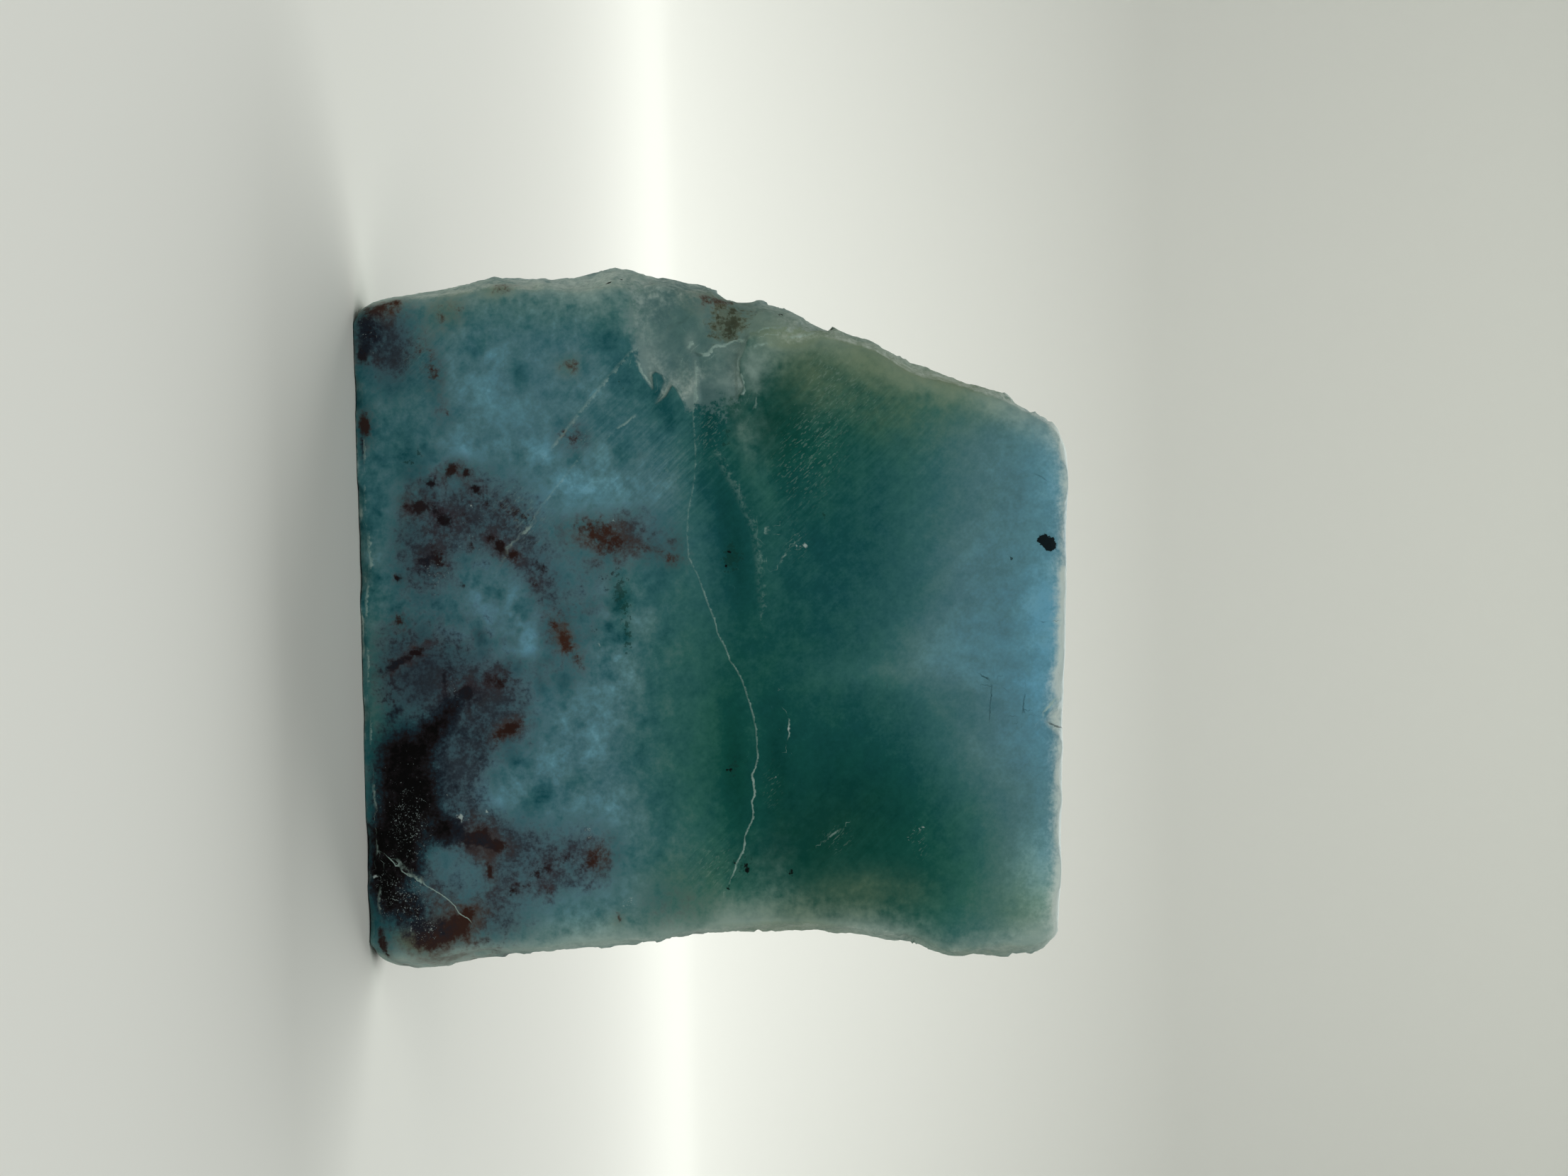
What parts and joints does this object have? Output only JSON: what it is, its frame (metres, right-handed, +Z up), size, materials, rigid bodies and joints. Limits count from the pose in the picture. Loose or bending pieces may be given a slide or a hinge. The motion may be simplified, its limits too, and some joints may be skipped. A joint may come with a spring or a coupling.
{
  "type": "rough larimar slab",
  "caption": "Sawn slab of rough larimar standing upright on a flat sawn base, with natural rough sides and chipped arrises.",
  "frame": {"origin": "on the plane that the slab stands on, under the middle of its box", "axes": "+Z up from the sawn base to the sawn top; the sawn front face looks towards -Y; +X to the right seen from the front"},
  "size_m": [0.038, 0.009, 0.0379],
  "materials": {
    "larimar": "fine sawn, satin, clouded blue-green with paler rough edges and red-brown and black patches"
  },
  "bodies": {
    "root": {"larimar_slab": "larimar"}
  },
  "joints": []
}
